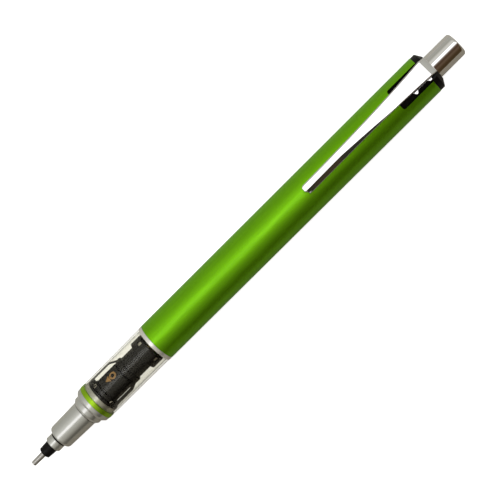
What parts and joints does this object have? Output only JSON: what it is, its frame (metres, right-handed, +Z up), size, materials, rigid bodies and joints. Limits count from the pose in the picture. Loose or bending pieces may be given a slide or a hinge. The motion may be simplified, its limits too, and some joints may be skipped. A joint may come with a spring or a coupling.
{
  "type": "fine-lead holder",
  "caption": "Push-button lead holder with a clear front grip over a lead-turning engine, a green metal barrel, a sliding lead pipe and a sprung chrome pocket clip.",
  "frame": {"origin": "centre of the box's floor: the pencil lies on a surface, and the origin is on that surface below the middle of its length", "axes": "+X along the axis from the lead pipe to the push button, +Z up on the side of the clip, +Y to the left seen from the tip"},
  "size_m": [0.1424, 0.0104, 0.0123],
  "materials": {
    "steel_pipe": "drawn stainless pipe, satin",
    "black_plastic": "moulded, semi-matt",
    "brake_rubber": "plain",
    "nose_metal": "turned brass, satin nickel plate",
    "green_ring": "anodised green",
    "clear_plastic": "clear moulding, polished",
    "bright_ring": "polished",
    "engine_plastic": "moulded, smooth",
    "cam_plastic": "moulded, plain",
    "rotor_plastic": "moulded, smooth, with a printed gold index mark",
    "spring_steel": "drawn wire",
    "chuck_brass": "turned",
    "ivory_plastic": "moulded, plain",
    "tank_plastic": "moulded, plain",
    "graphite": "drawn lead",
    "eraser_rubber": "plain",
    "button_chrome": "polished chrome plate",
    "barrel_green": "green anodised, satin with a gloss",
    "clip_chrome": "polished chrome plate"
  },
  "bodies": {
    "holder": {"tip_bush": "nose_metal", "nose_cone": "nose_metal", "front_joint": "nose_metal", "accent_ring": "green_ring", "clear_grip": "clear_plastic", "middle_ring": "bright_ring", "engine_frame": "engine_plastic", "engine_body": "engine_plastic", "lower_cam": "cam_plastic", "upper_cam": "cam_plastic", "spring_retainer": "ivory_plastic", "cushion_spring": "spring_steel", "tank_spring": "spring_steel", "barrel": "barrel_green", "tail_plug": "black_plastic"},
    "canceller": {"torque_canceller": "cam_plastic"},
    "turning_engine": {"rotor": "rotor_plastic", "clamp_ring": "chuck_brass", "chuck_spring": "spring_steel"},
    "tip_slider": {"slider": "black_plastic", "lead_sleeve": "steel_pipe", "lead_brake": "brake_rubber"},
    "chuck_unit": {"chuck": "chuck_brass", "chuck_tube": "chuck_brass"},
    "tank_unit": {"lead_tank": "tank_plastic", "spare_leads": "graphite"},
    "button": {"button_cap": "button_chrome"},
    "eraser_unit": {"eraser": "eraser_rubber"},
    "clip_arm": {"clip": "clip_chrome"}
  },
  "joints": [
    {"name": "cushion", "type": "slide", "parent": "holder", "child": "canceller", "axis": [1, 0, 0], "range_m": [0, 0.00025], "stiffness_N_per_m": 300, "springref_m": -0.001, "deforming": ["cushion_spring"]},
    {"name": "engine_turn", "type": "hinge", "parent": "canceller", "child": "turning_engine", "pos_m": [-0.0412, 0, 0.00525], "axis": [1, 0, 0], "continuous": true},
    {"name": "slider_retract", "type": "slide", "parent": "turning_engine", "child": "tip_slider", "axis": [1, 0, 0], "range_m": [0, 0.003]},
    {"name": "button_press", "type": "slide", "parent": "holder", "child": "tank_unit", "axis": [-1, 0, 0], "range_m": [0, 0.0025], "stiffness_N_per_m": 500, "springref_m": -0.002, "deforming": ["tank_spring"]},
    {"name": "lead_feed", "type": "slide", "parent": "turning_engine", "child": "chuck_unit", "axis": [-1, 0, 0], "range_m": [0, 0.0025], "deforming": ["chuck_spring"]},
    {"name": "cap_pull", "type": "slide", "parent": "tank_unit", "child": "button", "axis": [1, 0, 0], "range_m": [0, 0.016]},
    {"name": "eraser_pull", "type": "slide", "parent": "tank_unit", "child": "eraser_unit", "axis": [1, 0, 0], "range_m": [0, 0.008]},
    {"name": "clip_flex", "type": "hinge", "parent": "holder", "child": "clip_arm", "pos_m": [0.0622, 0, 0.01115], "axis": [0, 1, 0], "range_deg": [0, 4], "stiffness_Nm_per_rad": 3, "springref_deg": -0.57}
  ],
  "couplings": [
    {"joint": "lead_feed", "follows": "button_press", "ratio": 1},
    {"joint": "eraser_pull", "follows": "cap_pull", "ratio": 0.5}
  ]
}
